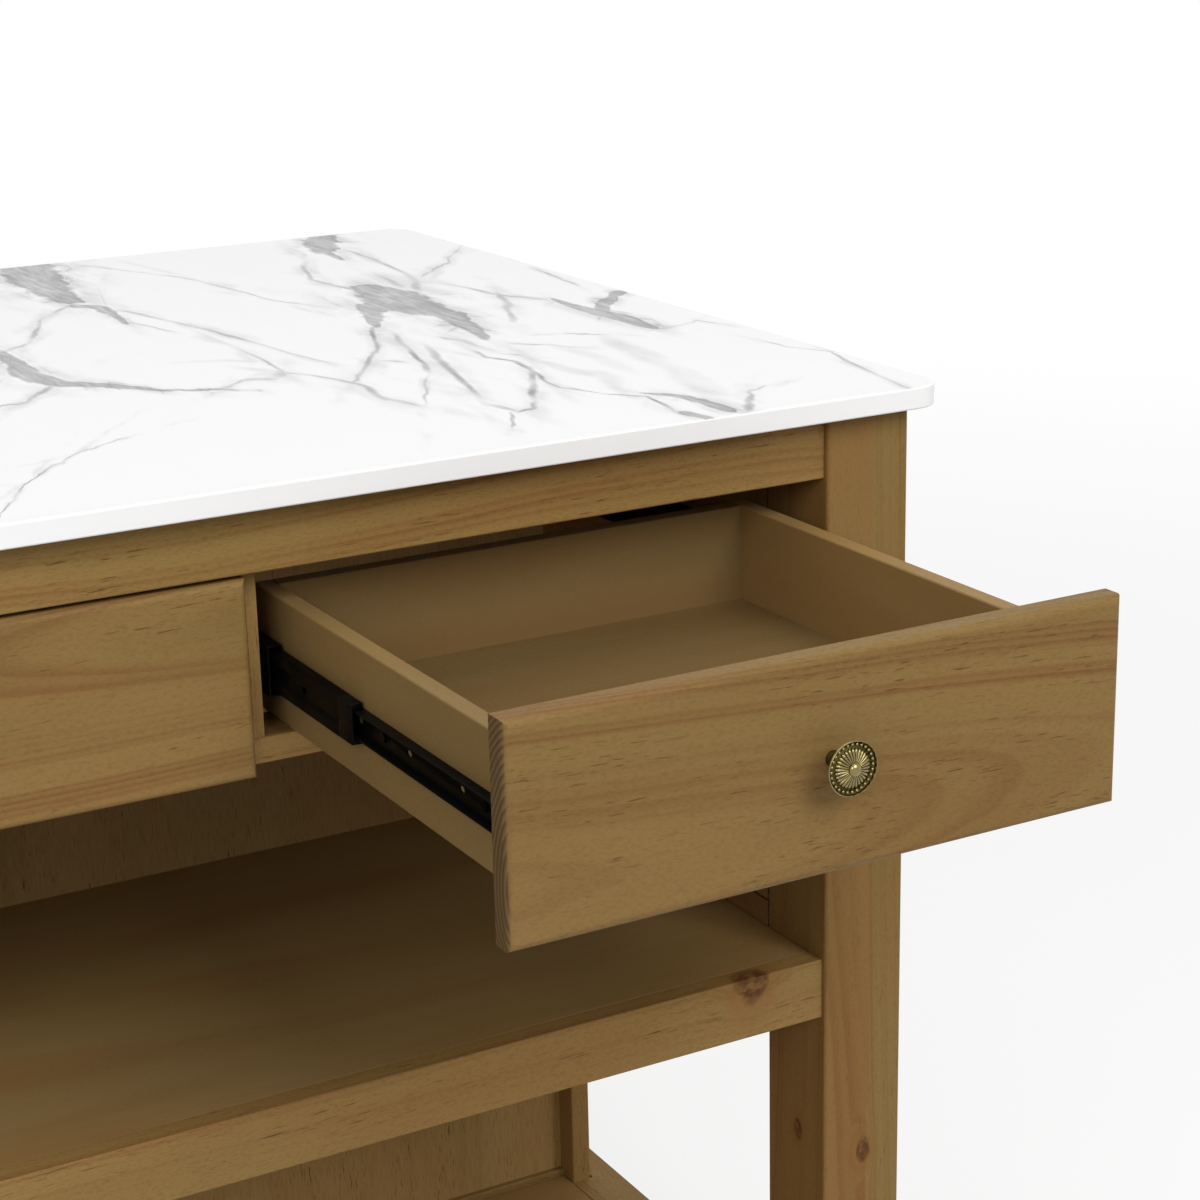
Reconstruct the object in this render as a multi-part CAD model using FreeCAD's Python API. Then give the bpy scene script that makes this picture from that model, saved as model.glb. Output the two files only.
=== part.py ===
"""Kitchen island of stained pine with a marble-look top, two drawers and two open shelves.

All sizes are in millimetres. +X is to the right, +Y to the back and +Z up, with the floor at zero.
The right drawer stands open, the left one is closed.
"""

import math
import os

import FreeCAD
import Part

from FreeCAD import Vector

os.makedirs("parts", exist_ok=True)

# Top slab
top_width = 1050.0
top_depth = 914.0
top_thickness = 16.0
top_overhang = 20.0
top_corner_radius = 25.0
top_edge_radius = 1.5

# Legs
island_height = 914.0
leg_width = 70.0
leg_depth = 80.0
leg_edge_radius = 3.0

# Rails of the frame
rail_height = 47.0
rail_thickness = 20.0
rail_recess = 5.0
board_edge_radius = 1.5
edge_radius_limit = 0.4
nearly_nothing = 0.001

# Drawer fronts
front_height = 135.0
front_thickness = 18.0
front_top_gap = 3.0
front_side_gap = 5.0
front_centre_gap = 12.0
front_bumper_gap = 2.0
front_round = 5.0
front_back_round = 2.0

# Rail and divider between the drawers
drawer_rail_height = 18.0
drawer_rail_depth = 48.0
drawer_rail_reveal = 2.0
divider_thickness = 15.0

# Drawer boxes
box_top_gap = 28.0
box_rail_gap = 2.0
box_back_gap = 30.0
box_wall = 13.0
floor_thickness = 6.0
floor_height = 11.0
groove_depth = 5.0
groove_play = 0.2
floor_end_play = 0.5

# Drawer slides
slide_thickness = 12.7
slide_height = 35.0
slide_drop = 3.0
slide_sheet = 1.2
slide_lip = 2.7
slide_running_gap = 0.35
slide_front_setback = 2.0
slide_end_gap = 29.0
outer_flange_reach = 10.0
middle_web_setback = 3.0
middle_web_press = 2.0
middle_track_height = 6.3
middle_flange_end_gap = 1.5
middle_setback = 60.0
middle_end_gap = 2.0
inner_flange_end_gap = 1.0
stop_length = 20.0
slot_length = 7.0
slot_height = 4.2
slot_count = 4
slide_screw_count = 3
slide_screw_radius = 1.75
slide_screw_cover = 4.0
slide_screw_head_radius = 3.5
slide_screw_head_height = 1.6
slide_screw_inset = 40.0
hole_play = 0.05
batten_thickness = 6.3
batten_height = 32.0
batten_setback = 20.0

# Drawers at rest: the right one is drawn out to just short of its stops
slide_travel_loss = 10.0
right_travel_left = 11.0
left_opening = 0.0

# Knobs
knob_rise = 4.5
knob_radius = 17.0
knob_projection = 25.0
knob_foot_radius = 5.0
knob_foot_height = 2.0
knob_stem_radius = 4.2
knob_rim_thickness = 2.5
knob_rim_width = 1.5
knob_button_radius = 4.5
knob_button_height = 3.5
knob_neck_height = 11.0
knob_screw_radius = 2.0
knob_screw_grip = 12.0
knob_screw_head_radius = 4.0
knob_screw_head_height = 2.4

# Shelves
middle_bay_height = 238.0
bottom_shelf_height = 92.0
shelf_rail_height = 48.0
shelf_rail_thickness = 18.0
shelf_thickness = 15.0
shelf_side_gap = 1.0
shelf_back_gap = 2.0
cleat_size = 18.0

# Back frame at half depth and the planked sides
panel_front = 436.0
panel_thickness = 6.0
panel_groove_depth = 8.0
panel_end_play = 0.5
post_width = 18.0
post_depth = 48.0
back_rail_thickness = 18.0
back_rail_ledge = 6.0
back_rail_rise = 6.0
plank_count = 6
plank_thickness = 15.0
plank_joint = 2.0
tongue_thickness = 5.0
tongue_height = 8.0
tongue_play = 0.2

# Side stretchers near the floor
stretcher_width = 45.0
post_notch_depth = 10.0
post_notch_play = 2.5

# Heights worked out from the top down
frame_top = island_height - top_thickness
rail_bottom = frame_top - rail_height
front_top = rail_bottom - front_top_gap
front_bottom = front_top - front_height
drawer_rail_bottom = front_bottom + drawer_rail_reveal
drawer_rail_top = drawer_rail_bottom + drawer_rail_height
box_bottom = drawer_rail_top + box_rail_gap
box_top = rail_bottom - box_top_gap
slide_centre = (box_bottom + box_top) / 2 - slide_drop
knob_centre = (front_top + front_bottom) / 2 + knob_rise
middle_shelf_height = drawer_rail_bottom - middle_bay_height
middle_rail_bottom = middle_shelf_height - shelf_rail_height
bottom_rail_bottom = bottom_shelf_height - shelf_rail_height
back_rail_top = bottom_shelf_height + back_rail_rise

# Widths worked out from the middle plane
outer_half = top_width / 2 - top_overhang
inner_half = outer_half - leg_width
bay_left = divider_thickness / 2
bay_right = inner_half
bay_middle = (bay_left + bay_right) / 2
slide_space = slide_thickness + batten_thickness
box_left = bay_left + slide_space
box_right = bay_right - slide_space
front_left = front_centre_gap / 2
front_right = inner_half - front_side_gap
front_middle = (front_left + front_right) / 2

# Depths worked out from the front faces of the legs
frame_depth = top_depth - 2 * top_overhang
rear_leg_front = frame_depth - leg_depth
frame_face = rail_recess + rail_thickness
front_back = frame_face - front_bumper_gap
front_face = front_back - front_thickness
box_back = panel_front - box_back_gap
slide_front = frame_face + slide_front_setback
slide_length = box_back - slide_end_gap - slide_front
slide_travel = slide_length - slide_travel_loss
right_opening = slide_travel - right_travel_left
shelf_front = rail_recess + shelf_rail_thickness
panel_back = panel_front + panel_thickness
post_front = panel_front - post_depth / 2
post_back = post_front + post_depth
back_rail_front = panel_front - back_rail_ledge

# The origin lies under the middle of the whole box, open drawer and knob included
foremost = min(front_face - knob_projection - max(right_opening, left_opening), -top_overhang)
rearmost = top_depth - top_overhang
origin_depth = (foremost + rearmost) / 2


def save(node, *solids):
    """Write one node, moved so that the part's origin lies under its box."""
    shape = solids[0] if len(solids) == 1 else Part.makeCompound(list(solids))
    shape = shape.copy()
    shape.translate(Vector(0, -origin_depth, 0))
    shape.exportStep(f"parts/{node}.step")


def box(x0, x1, y0, y1, z0, z1):
    """A plain block between two corners."""
    return Part.makeBox(x1 - x0, y1 - y0, z1 - z0, Vector(x0, y0, z0))


def edges_along(shape, direction):
    """The straight edges that run along one axis."""
    found = []
    for edge in shape.Edges:
        run = edge.Vertexes[-1].Point - edge.Vertexes[0].Point
        if run.Length > 0 and run.cross(direction).Length < nearly_nothing:
            found.append(edge)
    return found


GRAIN = {"x": Vector(1, 0, 0), "y": Vector(0, 1, 0), "z": Vector(0, 0, 1)}


def board(x0, x1, y0, y1, z0, z1, grain, radius=board_edge_radius):
    """A board whose long edges, along its grain, are eased."""
    block = box(x0, x1, y0, y1, z0, z1)
    limit = edge_radius_limit * min(x1 - x0, y1 - y0, z1 - z0)
    return block.makeFillet(min(radius, limit), edges_along(block, GRAIN[grain]))


def mirrored(shape, plane_x):
    """The same piece for the other hand, about a plane across X."""
    return shape.mirror(Vector(plane_x, 0, 0), Vector(1, 0, 0))


def moved(shape, opening):
    """A piece of a drawer, drawn out of the island."""
    copy = shape.copy()
    copy.translate(Vector(0, -opening, 0))
    return copy


def both_sides(name, shape):
    """A right-hand piece and its mirror image on the left."""
    save(f"right_{name}", shape)
    save(f"left_{name}", mirrored(shape, 0))


def make_top():
    """The slab, with round corners and softened arrises."""
    slab = box(-top_width / 2, top_width / 2, -top_overhang, rearmost, frame_top, island_height)
    slab = slab.makeFillet(top_corner_radius, edges_along(slab, GRAIN["z"]))
    rims = [edge for edge in slab.Edges if edge.BoundBox.ZLength < top_thickness / 2]
    save("countertop", slab.makeFillet(top_edge_radius, rims))


def make_legs():
    """Four square legs, front and rear."""
    for place, y in (("front", 0), ("rear", rear_leg_front)):
        leg = board(inner_half, outer_half, y, y + leg_depth, 0, frame_top, "z", leg_edge_radius)
        save(f"{place}_right_leg", leg)
        save(f"{place}_left_leg", mirrored(leg, 0))


def make_top_rails():
    """The rails under the slab, and the rail over the back panel."""
    x = inner_half
    front = board(-x, x, rail_recess, frame_face, rail_bottom, frame_top, "x")
    save("front_top_rail", front)
    rear_face = frame_depth - rail_recess
    rear = board(-x, x, rear_face - rail_thickness, rear_face, rail_bottom, frame_top, "x")
    save("rear_top_rail", rear)
    back = panel_front + back_rail_thickness
    save("back_panel_top_rail", board(-x, x, panel_front, back, rail_bottom, frame_top, "x"))
    side = board(x, x + rail_thickness, leg_depth, rear_leg_front, rail_bottom, frame_top, "y")
    both_sides("side_top_rail", side)


def make_drawer_frame():
    """The flat rail under the drawers and the upright board between them."""
    rail_back = frame_face + drawer_rail_depth
    x = inner_half
    save("drawer_rail", board(-x, x, frame_face, rail_back, drawer_rail_bottom, drawer_rail_top, "x"))
    half = divider_thickness / 2
    save("centre_divider", box(-half, half, frame_face, panel_front, drawer_rail_top, frame_top))


def make_shelf(name, height, back, cleat_front, cleat_back):
    """A shelf board, the rail along its front and the cleats that carry its ends."""
    x = inner_half
    rail_foot = height - shelf_rail_height
    save(f"{name}_shelf_rail", board(-x, x, rail_recess, shelf_front, rail_foot, height, "x"))
    edge = x - shelf_side_gap
    under = height - shelf_thickness
    save(f"{name}_shelf", box(-edge, edge, shelf_front, back, under, height))
    cleat = box(x - cleat_size, x, cleat_front, cleat_back, under - cleat_size, under)
    save(f"{name}_shelf_cleats", cleat, mirrored(cleat, 0))


def make_stretchers():
    """The side stretchers near the floor, each notched for its back post."""
    x = inner_half
    top = bottom_shelf_height
    bar = board(x, x + stretcher_width, leg_depth, rear_leg_front, bottom_rail_bottom, top, "y")
    notch_side = x + post_width + post_notch_play
    notch = box(x, notch_side, post_front, post_back, top - post_notch_depth, top)
    both_sides("stretcher", bar.cut(notch))


def make_back_frame():
    """The plywood panel at half depth, its grooved posts and its bottom rail."""
    x = inner_half
    reach = x + panel_groove_depth - panel_end_play
    save("back_panel", box(-reach, reach, panel_front, panel_back, back_rail_top, rail_bottom))
    back = back_rail_front + back_rail_thickness
    rail = board(-x, x, back_rail_front, back, bottom_rail_bottom, back_rail_top, "x")
    save("back_panel_bottom_rail", rail)
    foot = bottom_shelf_height - post_notch_depth
    post = board(x, x + post_width, post_front, post_back, foot, rail_bottom, "z")
    lip = groove_play / 2
    groove = box(x, x + panel_groove_depth, panel_front - lip, panel_back + lip, foot, rail_bottom)
    both_sides("back_post", post.cut(groove))


def make_side_planks():
    """Tongued and grooved planks between the front leg and the back post."""
    x0 = inner_half
    x1 = x0 + plank_thickness
    pitch = (rail_bottom - middle_rail_bottom) / plank_count
    tongue_x = x0 + (plank_thickness - tongue_thickness) / 2
    planks = []
    for row in range(plank_count):
        foot = middle_rail_bottom + row * pitch
        last = row == plank_count - 1
        head = foot + pitch if last else foot + pitch - plank_joint
        plank = box(x0, x1, leg_depth, post_front, foot, head)
        if row > 0:
            groove = box(
                tongue_x - tongue_play,
                tongue_x + tongue_thickness + tongue_play,
                leg_depth,
                post_front,
                foot,
                foot + tongue_height - plank_joint + tongue_play,
            )
            plank = plank.cut(groove)
        if not last:
            tongue = box(
                tongue_x,
                tongue_x + tongue_thickness,
                leg_depth,
                post_front,
                head,
                head + tongue_height,
            )
            plank = plank.fuse(tongue).removeSplitter()
        planks.append(plank)
    save("right_side_planks", *planks)
    save("left_side_planks", *[mirrored(plank, 0) for plank in planks])


def slide_section(points, y0, length):
    """A sheet-metal section, given as width and height from the slide's middle, drawn along Y."""
    x = bay_left + batten_thickness
    corners = [Vector(x + u, y0, slide_centre + v) for u, v in points]
    face = Part.Face(Part.makePolygon(corners + corners[:1]))
    return face.extrude(Vector(0, length, 0))


def channel(web, back, flange_end, half, inside, lip=0.0, press=0.0, track=0.0):
    """The outline of a channel: its web's two faces, its flange ends, half heights and inward lips.

    A web can be pressed in between its two ball tracks.
    """
    upper = [(flange_end, half), (flange_end, inside - lip)]
    if lip:
        upper += [(flange_end - slide_sheet, inside - lip), (flange_end - slide_sheet, inside)]
    upper += [(back, inside)]
    outer_face = [(web, half)]
    if press:
        upper += [(back, half - track), (back + press, half - track - press)]
        outer_face = [(web + press, half - track - press), (web, half - track)] + outer_face
    lower = [(u, -v) for u, v in reversed(upper)]
    return outer_face + upper + lower + [(u, -v) for u, v in reversed(outer_face)]


def web_slots(y0, length, x0, x1):
    """Round-ended slots in a row along a web."""
    slots = []
    for number in range(slot_count):
        y = y0 + length * (number + 1) / (slot_count + 1)
        radius = slot_height / 2
        straight = slot_length / 2 - radius
        slot = box(x0, x1, y - straight, y + straight, slide_centre - radius, slide_centre + radius)
        for end in (y - straight, y + straight):
            spot = Vector(x0, end, slide_centre)
            slot = slot.fuse(Part.makeCylinder(radius, x1 - x0, spot, Vector(1, 0, 0)))
        slots.append(slot)
    return slots


def slide_screws():
    """The screws through a drawer member into the drawer's side, and their holes."""
    span = slide_length - 2 * slide_screw_inset
    length = slide_sheet + box_wall - slide_screw_cover
    across = Vector(1, 0, 0)
    screws = []
    holes = []
    for number in range(slide_screw_count):
        y = slide_front + slide_screw_inset + span * number / (slide_screw_count - 1)
        spot = Vector(box_left - slide_sheet, y, slide_centre)
        shank = Part.makeCylinder(slide_screw_radius, length, spot, across)
        head = Part.makeCylinder(slide_screw_head_radius, slide_screw_head_height, spot, -across)
        screws.append(shank.fuse(head).removeSplitter())
        holes.append(Part.makeCylinder(slide_screw_radius + hole_play, length + hole_play, spot, across))
    return screws, holes


def slide_members(screw_holes):
    """The left slide of the right drawer, closed: outer, middle and inner members and the end stop."""
    x = bay_left + batten_thickness
    half = slide_height / 2
    inside = half - slide_sheet
    outline = channel(0, slide_sheet, outer_flange_reach, half, inside, slide_lip)
    outer = slide_section(outline, slide_front, slide_length)

    half = inside - slide_lip - slide_running_gap
    inside = half - slide_sheet
    web = middle_web_setback
    web_back = web + slide_sheet
    flange_end = slide_thickness - middle_flange_end_gap
    front = slide_front + middle_setback
    length = slide_length - middle_setback - middle_end_gap
    press = middle_web_press
    outline = channel(web, web_back, flange_end, half, inside, slide_lip, press, middle_track_height)
    middle = slide_section(outline, front, length)
    for slot in web_slots(front, length, x + web + press, x + web_back + press):
        middle = middle.cut(slot)

    inner_end = web_back + inner_flange_end_gap
    stop_back = inner_end - slide_running_gap
    outline = channel(web, stop_back, flange_end, half, inside - slide_lip)
    stop = slide_section(outline, front - stop_length, stop_length)

    half = inside - slide_lip - slide_running_gap
    inner_web = slide_thickness - slide_sheet
    outline = channel(slide_thickness, inner_web, inner_end, half, half - slide_sheet)
    inner = slide_section(outline, slide_front, slide_length)
    for cut in web_slots(slide_front, slide_length, x + inner_web, x + slide_thickness) + screw_holes:
        inner = inner.cut(cut)
    return outer, middle, inner, stop


def knob_outline():
    """The knob's half section as a closed wire: radius along X, distance from the drawer front along -Y."""
    rim_back = knob_projection - knob_button_height - knob_rim_thickness
    face = knob_projection - knob_button_height

    def at(radius, height):
        return Vector(front_middle + radius, front_face - height, knob_centre)

    neck_mid = at(knob_stem_radius, (knob_foot_height + knob_neck_height) / 2)
    flare_mid = at((knob_stem_radius + knob_radius) / 2 + knob_rim_width, (knob_neck_height + rim_back) / 2)
    dish = face - knob_rim_width / 2
    crown = knob_projection - dish
    sphere = (knob_button_radius ** 2 + crown ** 2) / (2 * crown)
    half_turn = math.atan2(knob_button_radius, sphere - crown) / 2
    crown_mid = at(sphere * math.sin(half_turn), knob_projection - sphere * (1 - math.cos(half_turn)))
    corners = [
        at(0, 0),
        at(knob_foot_radius, 0),
        at(knob_foot_radius, knob_foot_height),
        at(knob_stem_radius + knob_rim_width, knob_neck_height),
        at(knob_radius, rim_back),
        at(knob_radius, face),
        at(knob_radius - knob_rim_width, face),
        at(knob_button_radius, dish),
        at(0, knob_projection),
    ]
    bends = {2: neck_mid, 3: flare_mid, 7: crown_mid}
    edges = []
    for number, start in enumerate(corners):
        end = corners[(number + 1) % len(corners)]
        if number in bends:
            edges.append(Part.Arc(start, bends[number], end).toShape())
        else:
            edges.append(Part.LineSegment(start, end).toShape())
    return Part.Wire(edges)


def make_knob():
    """The turned knob, bored for its screw, and the screw from inside the drawer."""
    axis = Vector(0, -1, 0)
    centre = Vector(front_middle, front_face, knob_centre)
    knob = Part.Face(knob_outline()).revolve(centre, axis, 360)
    bore = Part.makeCylinder(knob_screw_radius + hole_play, knob_screw_grip + hole_play, centre, axis)
    start = Vector(front_middle, front_back, knob_centre)
    shank = Part.makeCylinder(knob_screw_radius, front_thickness + knob_screw_grip, start, axis)
    head = Part.makeCylinder(knob_screw_head_radius, knob_screw_head_height, start, Vector(0, 1, 0))
    return knob.cut(bore), shank.fuse(head).removeSplitter()


def make_drawer_box(slide_holes):
    """The right drawer's front, sides, back and floor."""
    inside_left = box_left + box_wall
    inside_right = box_right - box_wall
    inside_back = box_back - box_wall
    floor_low = box_bottom + floor_height
    floor_top = floor_low + floor_thickness
    groove = box(
        inside_left - groove_depth,
        inside_right + groove_depth,
        front_back - groove_depth,
        inside_back + groove_depth,
        floor_low - groove_play / 2,
        floor_top + groove_play / 2,
    )
    floor = box(
        inside_left - groove_depth + floor_end_play,
        inside_right + groove_depth - floor_end_play,
        front_back - groove_depth + floor_end_play,
        inside_back + groove_depth - floor_end_play,
        floor_low,
        floor_top,
    )
    front = box(front_left, front_right, front_face, front_back, front_bottom, front_top)
    rim = [edge for edge in front.Edges if edge.BoundBox.YMax < front_face + front_thickness / 2]
    front = front.makeFillet(front_round, rim)
    rear = [edge for edge in front.Edges if edge.BoundBox.YMin > front_back - front_back_round / 2]
    front = front.makeFillet(front_back_round, rear)
    screw_hole = Part.makeCylinder(
        knob_screw_radius + hole_play,
        front_thickness,
        Vector(front_middle, front_face, knob_centre),
        Vector(0, 1, 0),
    )
    front = front.cut(groove).cut(screw_hole)
    left = board(box_left, inside_left, front_back, box_back, box_bottom, box_top, "y").cut(groove)
    right = mirrored(left, bay_middle)
    back = box(inside_left, inside_right, inside_back, box_back, box_bottom, box_top).cut(groove)
    for hole in slide_holes:
        left = left.cut(hole)
        right = right.cut(mirrored(hole, bay_middle))
    return {"front": front, "left_side": left, "right_side": right, "back": back, "bottom": floor}


SWAP = {"left": "right", "right": "left"}


def drawer_node(hand, piece):
    """A piece's name on one drawer: left and right change places on the mirrored one."""
    words = piece.split("_")
    if hand == "left":
        words = [SWAP.get(word, word) for word in words]
    return "_".join([hand, "drawer"] + words)


def make_drawers():
    """Both drawers with their knobs, slides and battens; the left one is the right one's mirror image."""
    screws, screw_holes = slide_screws()
    outer, middle, inner, stop = slide_members(screw_holes)
    knob, knob_screw = make_knob()
    batten = box(
        bay_left,
        bay_left + batten_thickness,
        frame_face + batten_setback,
        post_front,
        slide_centre - batten_height / 2,
        slide_centre + batten_height / 2,
    )
    # Each piece's solids, with the share of the drawer's travel that it takes part in
    pieces = {name: ([shape], 1.0) for name, shape in make_drawer_box(screw_holes).items()}
    pieces["knob"] = ([knob], 1.0)
    pieces["knob_screw"] = ([knob_screw], 1.0)
    pieces["slide_screws"] = (screws + [mirrored(screw, bay_middle) for screw in screws], 1.0)
    pieces["slide_stops"] = ([stop, mirrored(stop, bay_middle)], 0.5)
    for name, shape, share in (
        ("slide_outer", outer, 0.0),
        ("slide_middle", middle, 0.5),
        ("slide_inner", inner, 1.0),
        ("slide_batten", batten, 0.0),
    ):
        pieces[f"left_{name}"] = ([shape], share)
        pieces[f"right_{name}"] = ([mirrored(shape, bay_middle)], share)
    for hand, opening in (("right", right_opening), ("left", left_opening)):
        for piece, (solids, share) in pieces.items():
            if hand == "left":
                solids = [mirrored(solid, 0) for solid in solids]
            save(drawer_node(hand, piece), *[moved(solid, opening * share) for solid in solids])


make_top()
make_legs()
make_top_rails()
make_drawer_frame()
make_shelf("middle", middle_shelf_height, panel_front, leg_depth, post_front)
make_shelf("bottom", bottom_shelf_height, back_rail_front - shelf_back_gap, leg_depth, post_front)
make_stretchers()
make_back_frame()
make_side_planks()
make_drawers()
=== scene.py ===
"""Looks of a kitchen island: stained pine, veined marble, drawers on black slides and brass knobs."""

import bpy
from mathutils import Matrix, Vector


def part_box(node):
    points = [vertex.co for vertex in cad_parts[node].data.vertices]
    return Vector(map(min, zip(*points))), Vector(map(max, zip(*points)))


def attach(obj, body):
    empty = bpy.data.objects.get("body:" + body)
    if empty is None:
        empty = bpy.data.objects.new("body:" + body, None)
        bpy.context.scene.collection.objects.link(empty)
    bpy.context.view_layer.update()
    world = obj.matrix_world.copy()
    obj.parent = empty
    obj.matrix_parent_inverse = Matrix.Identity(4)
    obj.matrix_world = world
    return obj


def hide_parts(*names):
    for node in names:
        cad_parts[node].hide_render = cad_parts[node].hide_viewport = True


bl_info = {
    "name": "Kitchen island looks",
    "version": (1, 0, 0),
    "blender": (4, 5, 0),
    "location": "View3D > Sidebar > Island",
    "description": "Dresses the packed kitchen island: finishes, knobs, slides, screws and a studio",
    "category": "Object",
}

import math

import bpy
from bpy.props import FloatProperty, FloatVectorProperty, IntProperty, PointerProperty
from mathutils import Euler, Matrix, Vector

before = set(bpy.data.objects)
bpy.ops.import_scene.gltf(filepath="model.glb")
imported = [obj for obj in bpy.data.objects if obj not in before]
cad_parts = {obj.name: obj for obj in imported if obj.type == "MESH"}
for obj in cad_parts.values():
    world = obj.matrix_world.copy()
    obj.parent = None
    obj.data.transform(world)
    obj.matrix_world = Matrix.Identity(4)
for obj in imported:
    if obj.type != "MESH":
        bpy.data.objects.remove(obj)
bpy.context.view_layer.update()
MM = 0.001
CM = 0.01
HANDS = ("right", "left")
NODE_ORDER = sorted(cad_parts)

# A board's pattern runs along its own first axis, so the mapping turns the grain's axis onto X.
GRAIN_TURN = {"X": (0.0, 0.0, 0.0), "Y": (0.0, 0.0, -math.pi / 2), "Z": (0.0, math.pi / 2, 0.0)}
GRAIN_AXIS = {"X": (1.0, 0.0, 0.0), "Y": (0.0, 1.0, 0.0), "Z": (0.0, 0.0, 1.0)}
SEED_STEP = 1.7

# Map Range eases inputs 1 to 2 into 3 to 4. A Mix of colours has them at 6 and 7, and gives output 2.
EASED = {"interpolation_type": "SMOOTHSTEP"}
RGBA = {"data_type": "RGBA"}

# Veins of the slab, each a route of points: x and y on the slab in cm, then the vein's half width in mm.
GREY_BANDS = (
    ((14, 66, 30), (12, 54, 25), (11, 46, 15), (11, 41, 7)),
    ((10.5, 39, 7), (12, 37, 10), (12, 34, 6), (11.5, 29, 2)),
    ((-1, 22, 4), (-1.5, 16, 10), (-2, 12, 12), (-1, 8, 11), (1, 6, 8), (4, 2, 4), (8, -1, 2)),
    ((45, 65, 16), (42, 58, 18), (40, 53, 14)),
    ((40, 54, 7), (39.5, 48, 3)),
    ((35, 33, 9), (35, 29, 25), (34, 24, 32), (34, 20, 23), (35, 16, 12), (34, 10, 9), (33, 5, 4)),
    ((32, 25, 15), (30, 20, 11), (28, 15, 3)),
    ((45.5, 17, 3), (45.5, 12, 6), (46, 8, 12), (46, 4, 9), (46, 1, 3)),
    ((52.5, 17.5, 6), (50, 15, 8), (47.5, 12.5, 7), (46, 9.5, 6)),
    ((33, -19.5, 2), (34.5, -22, 5), (35, -25, 6), (35, -28, 7)),
    ((32, -27, 3), (32.5, -30, 8)),
    ((-34, 60, 22), (-36, 50, 26), (-39, 40, 13), (-38, 33, 4)),
    ((-43, 14, 6), (-40, 8, 17), (-38, 0, 14), (-37, -7, 4)),
)
THIN_VEINS = (
    ((10, 39, 3), (6, 34, 3), (2, 25, 3), (-0.5, 22, 4)),
    ((-1, 8, 4), (-5, 3.5, 3), (-8, 2, 2)),
    ((8.5, -1, 2), (11, 1, 3), (12, 0.5, 7), (13, 0, 7), (14.5, 3, 3), (15, 8, 2), (15, 12, 2)),
    ((18, 60, 2), (22, 50, 2), (24, 44, 2), (25.5, 32, 2), (27, 28, 2), (29, 22, 2)),
    ((13, 35, 3), (15, 27, 3), (16, 21, 3), (17, 14.5, 3), (18, 7, 2), (19, 2, 2)),
    ((12, 29, 3), (13.5, 22, 2)),
    ((14, 3, 2), (15.5, 0.5, 3), (16.5, -2, 3), (17.5, -6, 3), (17, -10, 6), (18, -14, 2)),
    ((38, 53, 3), (36.5, 49.5, 5), (34.5, 45, 4), (32.5, 39, 3), (33, 35, 4), (34, 31, 5)),
    ((42, 53, 2), (42, 46, 3), (41, 38, 4), (40, 33, 6), (38, 28, 5)),
    ((38.5, 39, 2), (38, 34, 5), (37.5, 30, 6)),
    ((51.5, 47, 2), (46, 39, 3), (41, 34, 2)),
    ((52, 33, 2), (51, 26, 2), (50.5, 21, 1)),
    ((39.5, 33, 5), (41, 30, 4), (42, 27, 4), (42.5, 23, 3), (43.5, 20.5, 3), (45.5, 16, 4)),
    ((43, 23, 3), (41.5, 18, 6), (40, 15, 4), (38, 10, 5)),
    ((30, 8, 3), (31, 5.5, 3), (31, 2, 4), (31, -1, 3), (32, -2.5, 2)),
    ((46, 1, 3), (47, 0, 2), (50.5, 2, 2), (51, 0, 2)),
    ((50, -9, 2), (50.5, -12, 2), (52, -15, 2), (51, -19, 2), (50, -24, 3), (49, -29, 2)),
    ((-38, 33, 3), (-34, 26, 3), (-38, 19, 3), (-43, 14, 4)),
    ((-40, 40, 3), (-47, 31, 2), (-51, 18, 2)),
    ((-25, 61, 2), (-22, 48, 2), (-17, 38, 2), (-14, 27, 2)),
)
CRACKS = (
    ((30, 2, 2), (29.5, -2, 3), (30.5, -4.5, 3), (30, -8, 4), (27, -14, 4), (25.5, -17, 4), (24, -19, 3),
     (22.5, -19.5, 3)),
    ((27.5, 4, 4), (26, -1, 5), (25, -5, 5), (24, -9, 3), (22, -15.5, 5), (22.5, -19, 3)),
    ((27.5, 10, 3), (26, 4.5, 3), (24.5, -1, 3), (23.5, -4, 4)),
    ((22, -19.5, 2), (21, -22, 2), (20, -23.5, 2)),
    ((27.5, 14, 3), (24, 6, 3), (20, 0, 3), (17.5, -4, 3)),
    ((30, -8, 3), (29, -12.5, 2), (29, -15, 2), (30.5, -18.5, 2), (32.5, -21, 2), (32, -25, 3),
     (31.5, -29, 4)),
    ((36, -29, 3), (37.5, -26, 4), (39.5, -23.5, 3), (41.5, -23, 2)),
    ((37, 4, 2), (39.5, 2.5, 2), (41.5, 0.5, 2)),
    ((34, 1.5, 2), (36, -0.5, 2), (37, -2, 2)),
    ((22.5, 2, 3), (23.5, 0.5, 2)),
    ((23, -5, 2), (19, -13, 2)),
    ((-16, -27, 1), (-12, -20, 1), (-7, -14, 1.5), (-3, -12, 1)),
    ((-37, -7, 3), (-33, -14, 2), (-34, -22, 2), (-30, -30, 2)),
    ((-36, 0, 2), (-28, -3, 2), (-22, -10, 2), (-19, -19, 2)),
    ((-52, -8, 2), (-47, -15, 2), (-45, -26, 2)),
)
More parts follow.
